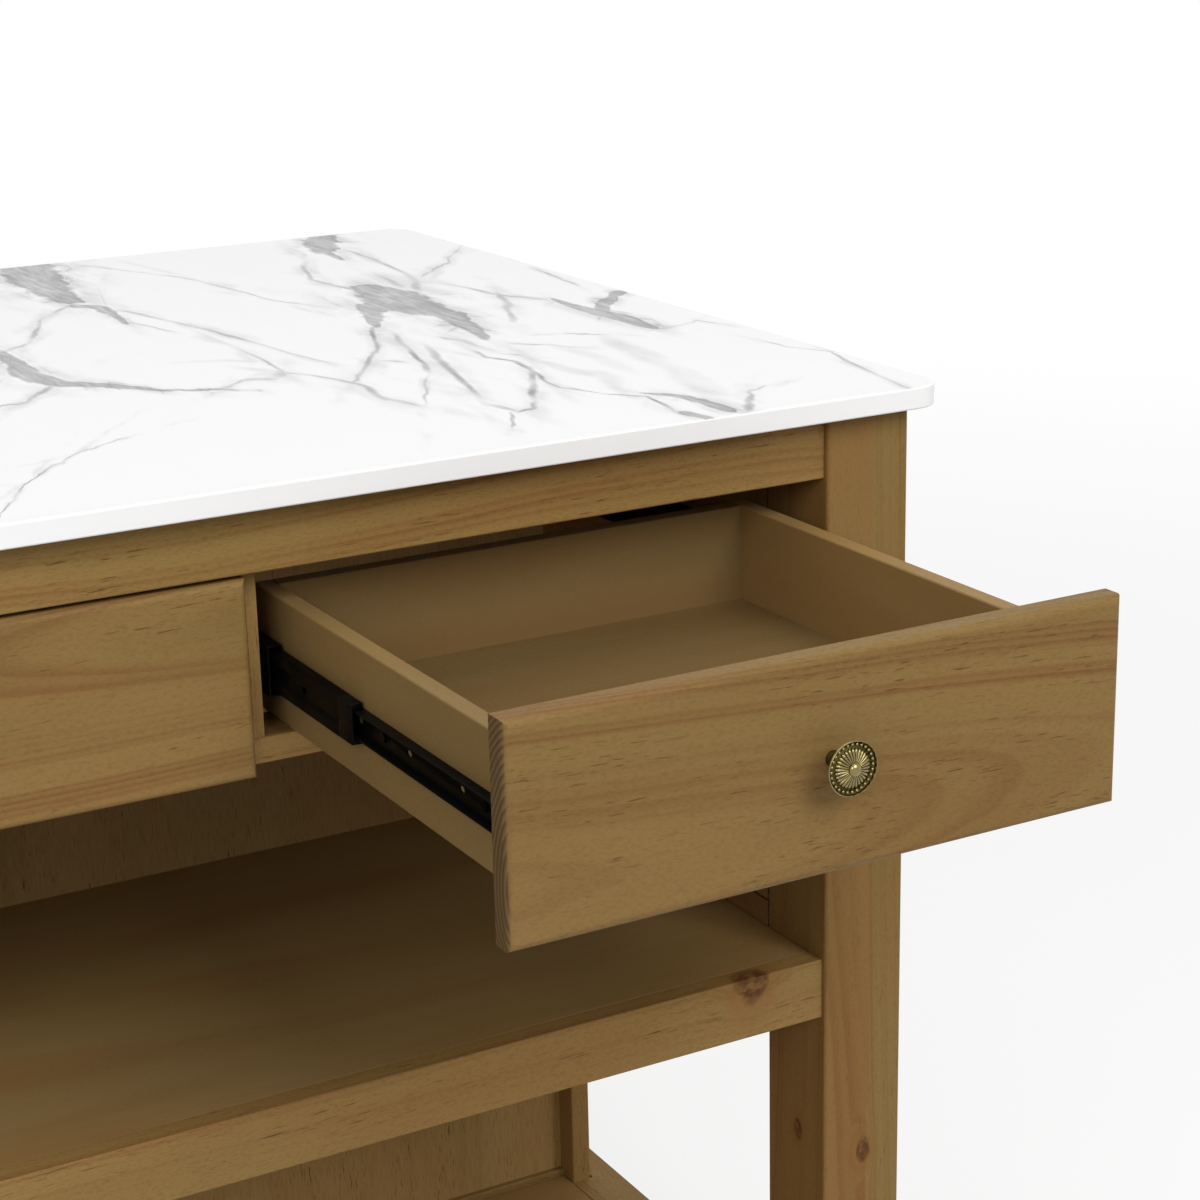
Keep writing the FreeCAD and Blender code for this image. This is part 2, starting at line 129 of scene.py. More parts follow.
SMOKE = (
    ((38.5, 39, 9), (38, 34, 16), (37.5, 29, 16)),
    ((51, 46, 8), (46, 39, 10), (41.5, 35, 8)),
    ((41, 0, 6), (40, -6, 14), (39.5, -10.5, 8)),
    ((39.5, -10, 7), (39, -14.5, 8), (37.5, -19.5, 13), (37, -23, 11)),
    ((32, -5, 5), (32.5, -9.5, 8), (33.5, -13, 8), (32, -18, 5)),
    ((36, -1, 6), (36.5, -6, 7), (36, -12, 6)),
    ((27, 10, 8), (26, 4, 12), (25, -2, 13), (24, -6, 8)),
    ((27, 12, 5), (23, 4, 8), (19, -2, 6)),
    ((37, 49, 6), (34.5, 43, 7), (33.5, 37, 5)),
    ((33, 4, 5), (32.5, -1, 6), (31.5, -6, 5)),
    ((10, 10, 4), (14, 8, 7), (15, 12, 5), (15, 20, 3)),
    ((-37, 34, 7), (-35, 26, 10), (-38, 18, 8)),
    ((-38, -4, 8), (-34, -14, 12), (-33, -24, 8)),
)


def linear(hex_colour):
    """Linear RGBA of an sRGB hex colour."""
    parts = [int(hex_colour[start:start + 2], 16) / 255 for start in (1, 3, 5)]
    return tuple(p / 12.92 if p <= 0.04045 else ((p + 0.055) / 1.055) ** 2.4 for p in parts) + (1.0,)


def add(tree, kind, inputs, out=0, **settings):
    """Add one shader node with its settings and links, and give back one of its output sockets, if any."""
    node = tree.nodes.new("ShaderNode" + kind)
    for name, value in settings.items():
        setattr(node, name, value)
    for key, value in inputs.items():
        if isinstance(value, bpy.types.NodeSocket):
            tree.links.new(value, node.inputs[key])
        else:
            node.inputs[key].default_value = value
    return node.outputs[out] if node.outputs else None


def blank_material(name):
    """A new material with an empty node tree."""
    material = bpy.data.materials.new(name)
    material.use_nodes = True
    material.node_tree.nodes.clear()
    return material


def close_material(material, inputs):
    """Give the material a Principled shader with these inputs."""
    tree = material.node_tree
    shader = add(tree, "BsdfPrincipled", inputs)
    add(tree, "OutputMaterial", {"Surface": shader})
    return material


def dress(node, material):
    """Put a material on a CAD node."""
    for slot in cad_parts[node].material_slots:
        slot.material = material


def colour_property(name, description, hex_colour):
    """A colour that the user can change, written as sRGB hex."""
    return FloatVectorProperty(
        name=name, description=description, subtype="COLOR", size=4, min=0.0, max=1.0,
        default=linear(hex_colour),
    )


class PineFinish(bpy.types.PropertyGroup):
    """Colours and grain of the stained pine and plywood."""

    early: colour_property("Early wood", "Pale wood between the ring lines", "#8f7243")
    late: colour_property("Late wood", "Reddish bands of the growth rings", "#774f2b")
    olive: colour_property("Olive cast", "Greenish patches that the stain leaves", "#7d693b")
    russet: colour_property("Russet cast", "Reddish patches that the stain leaves", "#835b31")
    fleck: colour_property("Flecks", "Short dark resin lines", "#4c2d13")
    veneer: colour_property("Plywood", "Face veneer of the plywood", "#8d7349")
    veneer_late: colour_property("Plywood figure", "Soft figure in the face veneer", "#7d5f39")
    end_pale: colour_property("End grain, pale", "Early wood where a board is cut across", "#735d3d")
    end_dark: colour_property("End grain, dark", "Late wood where a board is cut across", "#56422a")
    knot: colour_property("Knots", "Heart of a knot", "#54341b")
    ring: FloatProperty(
        name="Ring spacing", description="Distance between growth rings", unit="LENGTH", default=3.6 * MM
    )
    fleck_length: FloatProperty(
        name="Fleck length", description="Length of a resin line", unit="LENGTH", default=22 * MM
    )
    roughness: FloatProperty(
        name="Roughness", description="Satin varnish over the stain", subtype="FACTOR", default=0.48
    )


class MarbleFinish(bpy.types.PropertyGroup):
    """Colours and gloss of the marble slab."""

    ground: colour_property("Ground", "White of the stone", "#f4f4f4")
    band: colour_property("Bands", "Broad grey veins", "#8e8e8e")
    line: colour_property("Lines", "Thin grey veins and the rims of bands", "#707070")
    cloud: colour_property("Cloud", "Faint grey haze beside the veins", "#d0d0d0")
    # The rim white is paler than the ground: painted light that lifts the slab's front edge, which the open
    # drawer shades.
    rim: colour_property("Rim", "Plain white of the slab's edges", "#fdfdfd")
    roughness: FloatProperty(name="Roughness", description="Honed polish", subtype="FACTOR", default=0.28)


class BrassFinish(bpy.types.PropertyGroup):
    """Antique brass knobs: metal, patina and ornament."""

    bright: colour_property("Worn brass", "Metal that hands have rubbed bright", "#85763f")
    patina: colour_property("Patina", "Dark deposit left in the hollows", "#4d4423")
    gadroons: IntProperty(name="Gadroons", description="Raised ribs on the knob's face", default=30, min=3)
    beads: IntProperty(name="Beads", description="Beads inside the knob's rim", default=28, min=3)


class SlideFinish(bpy.types.PropertyGroup):
    """Black slides, their stops and screws, and the knobs' screws."""

    paint: colour_property("Paint", "Black coating of the slides and their screws", "#050606")
    plastic: colour_property("Plastic", "Black end stops", "#060707")
    steel: colour_property("Steel", "Zinc-plated knob screws", "#a9aaac")
    edge: FloatProperty(
        name="Edge radius", description="Rounding of the edges of slides and stops", unit="LENGTH",
        default=0.3 * MM,
    )


class StudioLight(bpy.types.PropertyGroup):
    """Floor, lights and camera."""

    floor: colour_property("Floor", "Pale studio floor", "#c0c0c0")
    key_power: FloatProperty(
        name="Key light", description="Large soft box above the front", unit="POWER", default=204
    )
    fill_power: FloatProperty(
        name="Fill light", description="Soft box at the front left", unit="POWER", default=110
    )
    top_power: FloatProperty(
        name="Top light", description="Soft box overhead", unit="POWER", default=28
    )
    ambient: FloatProperty(name="Ambient", description="Even light from all round", default=0.38)
    lens: FloatProperty(name="Lens", description="Focal length", unit="CAMERA", default=77.631)
    camera_place: FloatVectorProperty(
        name="Camera", description="Where the camera stands", subtype="TRANSLATION",
        default=(-0.57664, -1.75351, 1.30527),
    )
    camera_turn: FloatVectorProperty(
        name="Camera angles", description="Yaw to the right, pitch down and roll", subtype="EULER",
        default=(math.radians(29.0924), math.radians(16.8090), math.radians(1.2635)),
    )


def grain_rate(length, width):
    """Scale of a pattern whose marks are so many mm long with the grain and so many wide across it."""
    return 1 / (length * MM), 1 / (width * MM), 1 / (width * MM)


def stain(board, grain, pith, tilt=(0.0, 0.0), ring=1.0, contrast=1.0, sway=1.0, flecks=1.0, fibre_mm=3.846,
          cast=(0.3, 0.3), tone_and_painted_light=1.0, joints=None, knots=(), veneer=False):
    """Dress a board in stained pine, planed and satin varnished.

    To the eye that is soft reddish ring bands, short resin flecks and fine fibres. The rings are round a
    pith that lies pith mm from the board's middle and leans by tilt. Joints is the axis, the first joint and
    the pitch of boards glued side by side, and each of those gets wood of its own, in turn more russet and
    more olive. Cast is how far the stain turns olive and russet. A knot is a place and half sizes. The last
    scale on the colour is partly painted light and shade: it lifts boards that sit in shade and dulls
    others.
    """
    finish = bpy.context.scene.island_pine
    low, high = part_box(board)
    pith_place = (low + high) / 2 + Vector(pith) * MM
    turn = Euler((0.0, *tilt)).to_matrix() @ Euler(GRAIN_TURN[grain]).to_matrix()
    seed = NODE_ORDER.index(board) * SEED_STEP
    material = blank_material(("plywood_" if veneer else "stained_pine_") + board)
    tree = material.node_tree
    place = add(tree, "TexCoord", {}, "Object")
    facing = add(tree, "TexCoord", {}, "Normal")
    spot = add(tree, "Mapping", {0: place, 1: -(turn @ pith_place), 2: turn.to_euler()})
    if joints:
        axis, start, pitch = joints
        across = add(tree, "SeparateXYZ", {0: place}, axis)
        count = add(tree, "Math", {0: across, 1: 1 / pitch, 2: -start / pitch}, operation="MULTIPLY_ADD")
        count = add(tree, "Math", {0: count}, operation="FLOOR")
        log_step = (830 * MM, 97 * MM, 61 * MM)
        shift = add(tree, "VectorMath", {0: log_step, "Scale": count}, operation="SCALE")
        spot = add(tree, "VectorMath", {0: spot, 1: shift})

    # Rings sway over a forearm's length and ripple over a few millimetres.
    drift = 26 * MM * sway
    long_spot = add(tree, "VectorMath", {0: spot, 1: grain_rate(384.6, 111.1)}, operation="MULTIPLY")
    swing = add(tree, "TexNoise", {0: long_spot, "W": seed, "Scale": 1.0, "Detail": 1.0}, "Color",
                noise_dimensions="4D")
    swing = add(tree, "VectorMath", {0: swing, 1: (0.0, drift, drift), 2: (0.0, -drift / 2, -drift / 2)},
                operation="MULTIPLY_ADD")
    section = add(tree, "VectorMath", {0: spot, 1: (0.0, 1.0, 1.0), 2: swing}, operation="MULTIPLY_ADD")
    radius = add(tree, "VectorMath", {0: section}, "Value", operation="LENGTH")
    short_spot = add(tree, "VectorMath", {0: spot, 1: grain_rate(71.43, 7.692)}, operation="MULTIPLY")
    ripple = add(tree, "TexNoise", {0: short_spot, "W": seed, "Scale": 1.0}, noise_dimensions="4D")
    radius = add(tree, "Math", {0: ripple, 1: 1.2 * MM, 2: radius}, operation="MULTIPLY_ADD")
    knot_heart = None
    for knot_place, knot_size in knots:
        near = add(tree, "Mapping", {0: place, 1: knot_place, 3: knot_size}, vector_type="TEXTURE")
        near = add(tree, "VectorMath", {0: near}, "Value", operation="LENGTH")
        push = add(tree, "MapRange", {0: near, 1: 0.0, 2: 3.0, 3: 9 * MM, 4: 0.0}, **EASED)
        radius = add(tree, "Math", {0: radius, 1: push})
        if knot_heart is not None:
            near = add(tree, "Math", {0: knot_heart, 1: near}, operation="MINIMUM")
        knot_heart = near

    # A ring darkens slowly, then stops at a line. Strong years come in runs, as soft reddish bands.
    rings = add(tree, "Math", {0: radius, 1: finish.ring * ring}, operation="DIVIDE")
    within = add(tree, "Math", {0: rings}, operation="FRACT")
    rise = add(tree, "MapRange", {0: within, 1: 0.2, 2: 0.82}, **EASED)
    fall = add(tree, "MapRange", {0: within, 1: 1.0, 2: 0.88}, **EASED)
    late = add(tree, "Math", {0: rise, 1: fall}, operation="MULTIPLY")
    years = add(tree, "Math", {0: rings, 1: 0.27, 2: seed}, operation="MULTIPLY_ADD")
    run = add(tree, "TexNoise", {"W": years, "Scale": 1.0, "Detail": 1.0}, noise_dimensions="1D")
    run = add(tree, "MapRange", {0: run, 1: 0.42, 2: 0.7, 3: 0.12, 4: 1.0}, **EASED)
    band = add(tree, "Math", {0: late, 1: 0.55, 2: 0.45}, operation="MULTIPLY_ADD")
    band = add(tree, "Math", {0: band, 1: run}, operation="MULTIPLY")
    band = add(tree, "Math", {0: band, 1: contrast}, operation="MULTIPLY")
    early, dark = (finish.veneer, finish.veneer_late) if veneer else (finish.early, finish.late)
    colour = add(tree, "Mix", {0: band, 6: early, 7: dark}, 2, **RGBA)

    # The stain takes unevenly: long olive and russet patches, a few fingers wide.
    cast_spot = add(tree, "VectorMath", {0: spot, 1: grain_rate(333.3, 58.82)}, operation="MULTIPLY")
    cloud = add(tree, "TexNoise", {0: cast_spot, "W": seed + 31.0, "Scale": 1.0, "Detail": 2.0}, "Color",
                noise_dimensions="4D")
    for channel, tint, amount in (("Red", finish.olive, cast[0]), ("Green", finish.russet, cast[1])):
        share = add(tree, "SeparateColor", {0: cloud}, channel)
        share = add(tree, "MapRange", {0: share, 1: 0.4, 2: 0.66, 4: amount}, **EASED)
        colour = add(tree, "Mix", {0: share, 6: colour, 7: tint}, 2, **RGBA)
    if joints:
        other = add(tree, "Math", {0: count, 1: 2.0}, operation="FLOORED_MODULO")
        tint = add(tree, "Mix", {0: other, 6: finish.russet, 7: finish.olive}, 2, **RGBA)
        colour = add(tree, "Mix", {0: 0.35, 6: colour, 7: tint}, 2, **RGBA)

    # Fibres are about half a millimetre wide, drawn twice as coarse as they are so that they show.
    fibre_spot = add(tree, "VectorMath", {0: spot, 1: grain_rate(fibre_mm, 1.1765)}, operation="MULTIPLY")
    fibre = add(tree, "TexNoise", {0: fibre_spot, "Scale": 1.0, "Detail": 2.0})
    thread = add(tree, "MapRange", {0: fibre, 1: 0.42, 2: 0.75, 4: 0.05 + 0.18 * flecks}, **EASED)
    colour = add(tree, "Mix", {0: thread, 6: colour, 7: finish.fleck}, 2, **RGBA)

    # Resin lines gather in patches.
    fleck_rate = grain_rate(finish.fleck_length / MM, 1.0)
    fleck_spot = add(tree, "VectorMath", {0: spot, 1: fleck_rate}, operation="MULTIPLY")
    fleck = add(tree, "TexNoise", {0: fleck_spot, "W": seed, "Scale": 1.0}, noise_dimensions="4D")
    fleck = add(tree, "MapRange", {0: fleck, 1: 0.61, 2: 0.68}, **EASED)
    patch_spot = add(tree, "VectorMath", {0: spot, 1: grain_rate(90.91, 16.667)}, operation="MULTIPLY")
    patch = add(tree, "TexNoise", {0: patch_spot, "W": seed + 7.0, "Scale": 1.0}, noise_dimensions="4D")
    patch = add(tree, "MapRange", {0: patch, 1: 0.42, 2: 0.62, 4: 0.8 * flecks}, **EASED)
    fleck = add(tree, "Math", {0: fleck, 1: patch}, operation="MULTIPLY")
    colour = add(tree, "Mix", {0: fleck, 6: colour, 7: finish.fleck}, 2, **RGBA)
    if knot_heart is not None:
        # A knot is mottled, in a russet halo, with a dark bark line that breaks off here and there.
        swirl = add(tree, "TexNoise", {0: place, "Scale": 1 / (10 * MM), "Detail": 3.0})
        knot_heart = add(tree, "Math", {0: swirl, 1: 1.2, 2: knot_heart}, operation="MULTIPLY_ADD")
        halo = add(tree, "MapRange", {0: knot_heart, 1: 3.2, 2: 1.4, 4: 0.6}, **EASED)
        colour = add(tree, "Mix", {0: halo, 6: colour, 7: finish.russet}, 2, **RGBA)
        core = add(tree, "MapRange", {0: knot_heart, 1: 1.8, 2: 1.35}, **EASED)
        mottle = add(tree, "TexNoise", {0: place, "Scale": 1 / (5 * MM), "Detail": 3.0})
        mottle = add(tree, "MapRange", {0: mottle, 1: 0.36, 2: 0.62, 3: 0.3, 4: 0.95})
        core_share = add(tree, "Math", {0: mottle, 1: core}, operation="MULTIPLY")
        colour = add(tree, "Mix", {0: core_share, 6: colour, 7: finish.knot}, 2, **RGBA)
        bark = add(tree, "MapRange", {0: knot_heart, 1: 1.2, 2: 1.5}, **EASED)
        bark = add(tree, "Math", {0: bark, 1: core}, operation="MULTIPLY")
        broken = add(tree, "MapRange", {0: swirl, 1: 0.48, 2: 0.6, 4: 0.7})
        bark = add(tree, "Math", {0: bark, 1: broken}, operation="MULTIPLY")
        colour = add(tree, "Mix", {0: bark, 6: colour, 7: finish.fleck}, 2, **RGBA)

    # Cut across, the wood drinks more stain and its rings stand out.
    cut = add(tree, "VectorMath", {0: facing, 1: GRAIN_AXIS[grain]}, "Value", operation="DOT_PRODUCT")
    cut = add(tree, "Math", {0: cut}, operation="ABSOLUTE")
    cut = add(tree, "MapRange", {0: cut, 1: 0.6, 2: 0.9}, **EASED)
    end = add(tree, "Mix", {0: late, 6: finish.end_pale, 7: finish.end_dark}, 2, **RGBA)
    colour = add(tree, "Mix", {0: cut, 6: colour, 7: end}, 2, **RGBA)

    # Painted light and shade: this scale lifts boards that sit in shade and dulls others.
    colour = add(tree, "VectorMath", {0: colour, "Scale": tone_and_painted_light}, operation="SCALE")
    gloss = add(tree, "MapRange", {
        0: fibre, 1: 0.3, 2: 0.7, 3: finish.roughness - 0.05, 4: finish.roughness + 0.09,
    })
    height = add(tree, "Math", {0: fleck, 1: -0.6, 2: fibre}, operation="MULTIPLY_ADD")
    bump = add(tree, "Bump", {"Strength": 0.35, "Distance": 0.12 * MM, "Height": height})
    dress(board, close_material(material, {
        "Base Color": colour, "Roughness": gloss, "Specular IOR Level": 0.12, "Normal": bump,
    }))


def vein_field(tree, spot, veins):
    """Distance from the nearest vein in half widths.

    Each stretch of a route is an ellipse that reaches past its two points. A route's ellipses flow together.
    """
    reach = 0.75
    softness = 1.3
    nearest = None
    for route in veins:
        flow = None
        for (x0, y0, half0), (x1, y1, half1) in zip(route, route[1:]):
            run = Vector((x1 - x0, y1 - y0)) * CM
            middle = Vector((x1 + x0, y1 + y0)) / 2 * CM
            turn = math.atan2(run.y, run.x)
            local = add(tree, "Mapping", {
                0: spot, 1: (*middle, 0.0), 2: (0.0, 0.0, turn),
                3: (run.length * reach, (half0 + half1) / 2 * MM, 1.0),
            }, vector_type="TEXTURE")
            away = add(tree, "VectorMath", {0: local}, "Value", operation="LENGTH")
            if flow is not None:
                away = add(tree, "Math", {0: flow, 1: away, 2: softness}, operation="SMOOTH_MIN")
            flow = away
        if nearest is not None:
            flow = add(tree, "Math", {0: nearest, 1: flow}, operation="MINIMUM")
        nearest = flow
    return nearest


def marble():
    """Honed white marble: smoky grey bands with darker rims, thin veins and cracks off them, and edges in a
    paler white that is painted light.
    """
    finish = bpy.context.scene.island_marble
    material = blank_material("honed_white_marble")
    tree = material.node_tree
    place = add(tree, "TexCoord", {}, "Object")
    facing = add(tree, "TexCoord", {}, "Normal")
    flat = add(tree, "VectorMath", {0: place, 1: (1.0, 1.0, 0.0)}, operation="MULTIPLY")

    # The figure is drawn out along the slab's depth, so each wobble is three times as long that way.
    stretch = 3.0
    drawn = add(tree, "VectorMath", {0: flat, 1: (1.0, 1 / stretch, 0.0)}, operation="MULTIPLY")
    spot = flat
    for size, reach in ((62.5 * MM, 6 * MM), (18.18 * MM, 6 * MM), (5 * MM, 1.6 * MM)):
        drift = add(tree, "TexNoise", {0: drawn, "Scale": 1 / size, "Detail": 1.0}, "Color")
        drift = add(tree, "VectorMath", {
            0: drift, 1: (reach, reach * stretch, 0.0), 2: (-reach / 2, -reach * stretch / 2, 0.0),
        }, operation="MULTIPLY_ADD")
        spot = add(tree, "VectorMath", {0: spot, 1: drift})
    # Thin veins are jolted aside where they meet a band, cracks where they meet a thin vein, and so on.
    jolt_way = (0.8, 0.6, 0.0)
    fields = [vein_field(tree, spot, GREY_BANDS)]
    for veins, jolt in ((THIN_VEINS, 4 * MM), (CRACKS, 3 * MM), (SMOKE, 3 * MM)):
        push = add(tree, "MapRange", {0: fields[-1], 1: 2.0, 2: 0.5, 4: jolt}, **EASED)
        push = add(tree, "VectorMath", {0: jolt_way, "Scale": push}, operation="SCALE")
        spot = add(tree, "VectorMath", {0: spot, 1: push})
        fields.append(vein_field(tree, spot, veins))
    bands, thin, cracks, smoky = fields
    lines = add(tree, "Math", {0: thin, 1: cracks}, operation="MINIMUM")

    # Haze hangs beside bands and veins, and in streaks of its own.
    smoke = add(tree, "TexNoise", {0: drawn, "Scale": 1 / (25 * MM), "Detail": 3.0})
    smoke = add(tree, "MapRange", {0: smoke, 1: 0.36, 2: 0.66}, **EASED)
    beside_band = add(tree, "MapRange", {0: bands, 1: 3.0, 2: 0.9, 4: 0.9}, **EASED)
    beside_line = add(tree, "MapRange", {0: lines, 1: 3.6, 2: 1.0, 4: 0.6}, **EASED)
    haze = add(tree, "Math", {0: beside_band, 1: beside_line}, operation="MAXIMUM")
    haze = add(tree, "Math", {0: haze, 1: smoke}, operation="MULTIPLY")
    streaky = add(tree, "MapRange", {0: smoke, 3: 0.35, 4: 1.0})
    adrift = add(tree, "MapRange", {0: smoky, 1: 1.5, 2: 0.3, 4: 0.8}, **EASED)
    adrift = add(tree, "Math", {0: adrift, 1: streaky}, operation="MULTIPLY")
    haze = add(tree, "Math", {0: haze, 1: adrift}, operation="MAXIMUM")
    colour = add(tree, "Mix", {0: haze, 6: finish.ground, 7: finish.cloud}, 2, **RGBA)

    # Bands fray a little at their edges, and are streaked along the slab's depth.
    fray = add(tree, "TexNoise", {0: drawn, "Scale": 1 / (7.692 * MM), "Detail": 3.0})
    fray = add(tree, "MapRange", {0: fray, 1: 0.3, 2: 0.7, 3: -0.14, 4: 0.14})
    edge = add(tree, "Math", {0: bands, 1: fray})
    body = add(tree, "MapRange", {0: edge, 1: 1.05, 2: 0.72}, **EASED)
    comb_rate = (1 / (4.762 * MM), 1 / (38.46 * MM), 0.0)
    combed = add(tree, "VectorMath", {0: spot, 1: comb_rate}, operation="MULTIPLY")
    streak = add(tree, "TexNoise", {0: combed, "Scale": 1.0, "Detail": 3.0})
    streak = add(tree, "MapRange", {0: streak, 1: 0.32, 2: 0.68, 3: 1.0, 4: 0.55})
    body = add(tree, "Math", {0: body, 1: streak}, operation="MULTIPLY")
    colour = add(tree, "Mix", {0: body, 6: colour, 7: finish.band}, 2, **RGBA)

    # Thin veins, darker rims along parts of a band, and a net of fine cracks near it.
    thin = add(tree, "MapRange", {0: thin, 1: 1.1, 2: 0.25, 4: 0.6}, **EASED)
    cracks = add(tree, "MapRange", {0: cracks, 1: 1.1, 2: 0.25, 4: 0.85}, **EASED)
    thin = add(tree, "Math", {0: thin, 1: cracks}, operation="MAXIMUM")
    fade = add(tree, "TexNoise", {0: drawn, "Scale": 1 / (29.41 * MM), "Detail": 1.0})
    fade = add(tree, "MapRange", {0: fade, 1: 0.34, 2: 0.62, 3: 0.2, 4: 1.0})
    thin = add(tree, "Math", {0: thin, 1: fade}, operation="MULTIPLY")
    rim = add(tree, "MapRange", {0: edge, 1: 0.6, 2: 0.85}, **EASED)
    rim_end = add(tree, "MapRange", {0: edge, 1: 1.05, 2: 0.9, 4: 0.7}, **EASED)
    rim = add(tree, "Math", {0: rim, 1: rim_end}, operation="MULTIPLY")
    rim = add(tree, "Math", {0: rim, 1: smoke}, operation="MULTIPLY")
    net = add(tree, "TexVoronoi", {0: drawn, "Scale": 1 / (23.81 * MM)}, "Distance",
              feature="DISTANCE_TO_EDGE")
    net = add(tree, "MapRange", {0: net, 1: 0.04, 2: 0.0, 4: 0.45}, **EASED)
    near = add(tree, "MapRange", {0: bands, 1: 3.0, 2: 1.0}, **EASED)
    net = add(tree, "Math", {0: net, 1: near}, operation="MULTIPLY")
    net = add(tree, "Math", {0: net, 1: smoke}, operation="MULTIPLY")
    dark = add(tree, "Math", {0: thin, 1: rim}, operation="MAXIMUM")
    dark = add(tree, "Math", {0: dark, 1: net}, operation="MAXIMUM")
    colour = add(tree, "Mix", {0: dark, 6: colour, 7: finish.line}, 2, **RGBA)

    # Only the level faces are veined. The edges take the paler rim white instead, painted light that lifts
    # their shade.
    level = add(tree, "SeparateXYZ", {0: facing}, "Z")
    level = add(tree, "Math", {0: level}, operation="ABSOLUTE")
    level = add(tree, "MapRange", {0: level, 1: 0.5, 2: 0.95}, **EASED)
    colour = add(tree, "Mix", {0: level, 6: finish.rim, 7: colour}, 2, **RGBA)
    gloss = add(tree, "MapRange", {0: smoke, 3: finish.roughness, 4: finish.roughness + 0.06})
    return close_material(material, {"Base Color": colour, "Roughness": gloss, "Specular IOR Level": 0.25})


def black_paint(name, colour, roughness):
    """Black coating on rolled steel, or moulded black plastic: near black, faintly uneven in its gloss."""
    material = blank_material(name)
    tree = material.node_tree
    place = add(tree, "TexCoord", {}, "Object")
    grit = add(tree, "TexNoise", {0: place, "Scale": 1 / (2 * MM), "Detail": 3.0})
    dust = add(tree, "MapRange", {0: grit, 1: 0.45, 2: 0.8, 4: 0.08})
    shade = add(tree, "Mix", {0: dust, 6: colour, 7: linear("#2c2d2e")}, 2, **RGBA)
    gloss = add(tree, "MapRange", {0: grit, 1: 0.3, 2: 0.7, 3: roughness - 0.06, 4: roughness + 0.06})
    bump = add(tree, "Bump", {"Strength": 0.2, "Distance": 0.02 * MM, "Height": grit})
    return close_material(material, {
        "Base Color": shade, "Roughness": gloss, "Specular IOR Level": 0.07, "Normal": bump,
    })


def metal(name, colour, tarnish, tarnish_share, tarnish_size, roughness, lacquer=0.0):
    """Solid metal with dull tarnish in cloudy patches, so that its gloss is never even.

    Lacquer over it gives white sparks where a lamp is mirrored.
    """
    material = blank_material(name)
    tree = material.node_tree
    place = add(tree, "TexCoord", {}, "Object")
    cloud = add(tree, "TexNoise", {0: place, "Scale": 1 / tarnish_size, "Detail": 3.0})
    share = add(tree, "MapRange", {0: cloud, 1: 0.4, 2: 0.75, 4: tarnish_share}, **EASED)
    shade = add(tree, "Mix", {0: share, 6: colour, 7: tarnish}, 2, **RGBA)
    gloss = add(tree, "MapRange", {0: cloud, 1: 0.3, 2: 0.75, 3: roughness, 4: roughness + 0.15})
    return close_material(material, {
        "Base Color": shade, "Metallic": 1.0, "Roughness": gloss,
        "Coat Weight": lacquer, "Coat Roughness": 0.06,
    })


def deselect():
    """Leave nothing selected, so that an operator acts only on what is made next."""
    bpy.ops.object.select_all(action="DESELECT")


def turned(name, axis_x, axis_z, steps, sides):
    """A piece turned on a lathe about a line along Y: steps are its radius and its y from end to end."""
    deselect()
    radius, y = steps[0]
    bpy.ops.mesh.primitive_circle_add(
        vertices=sides, radius=radius, fill_type="NGON", location=(axis_x, y, axis_z),
        rotation=(math.pi / 2, 0, 0),
    )
    piece = bpy.context.object
    piece.name = name
    bpy.ops.object.transform_apply(location=True, rotation=True, scale=True)
    bpy.ops.object.mode_set(mode="EDIT")
    for next_radius, next_y in steps[1:]:
        share = next_radius / radius
        bpy.ops.mesh.extrude_region()
        bpy.ops.transform.translate(value=(0.0, next_y - y, 0.0))
        bpy.ops.transform.resize(value=(share, 1.0, share), center_override=(axis_x, next_y, axis_z))
        radius, y = next_radius, next_y
    bpy.ops.mesh.select_all(action="SELECT")
    bpy.ops.mesh.normals_make_consistent(inside=False)
    bpy.ops.object.mode_set(mode="OBJECT")
    return piece


def ball(radius, place, segments, rings, turn=(0, 0, 0)):
    """A round blank, to be shaped where it is."""
    deselect()
    bpy.ops.mesh.primitive_uv_sphere_add(
        segments=segments, ring_count=rings, radius=radius, location=place, rotation=turn
    )
    bpy.ops.object.transform_apply(location=True, rotation=True, scale=True)
    return bpy.context.object


def ringed(axis_x, y, axis_z, count):
    """Repeat all of the active piece's mesh round a line along Y."""
    bpy.ops.object.mode_set(mode="EDIT")
    bpy.ops.mesh.select_all(action="SELECT")
    bpy.ops.mesh.spin(
        steps=count, dupli=True, angle=math.tau, use_auto_merge=False, center=(axis_x, y, axis_z),
        axis=(0, 1, 0),
    )
    bpy.ops.mesh.select_all(action="SELECT")
    bpy.ops.mesh.remove_doubles(threshold=0.01 * MM)
    bpy.ops.mesh.normals_make_consistent(inside=False)
    bpy.ops.object.mode_set(mode="OBJECT")


def joined(pieces, name):
    """Join pieces into the first one."""
    deselect()
    for piece in pieces:
        piece.select_set(True)
    bpy.context.view_layer.objects.active = pieces[0]
    bpy.ops.object.join()
    pieces[0].name = name
    pieces[0].data.name = name
    return pieces[0]


def copied(piece, name, offset):
    """A copy with its own mesh, moved by offset within that mesh."""
    copy = piece.copy()
    copy.data = piece.data.copy()
    copy.name = name
    copy.data.name = name
    bpy.context.collection.objects.link(copy)
    copy.data.transform(Matrix.Translation(offset))
    return copy


def smoothed(piece, degrees):
    """Shade a piece smooth across edges that bend less than this."""
    deselect()
    piece.select_set(True)
    bpy.context.view_layer.objects.active = piece
    bpy.ops.object.shade_smooth_by_angle(angle=math.radians(degrees))


class ISLAND_OT_marble_top(bpy.types.Operator):
    """Finish the slab in veined white marble"""

    bl_idname = "island.marble_top"
    bl_label = "Marble top"

    def execute(self, context):
        dress("countertop", marble())
        return {"FINISHED"}


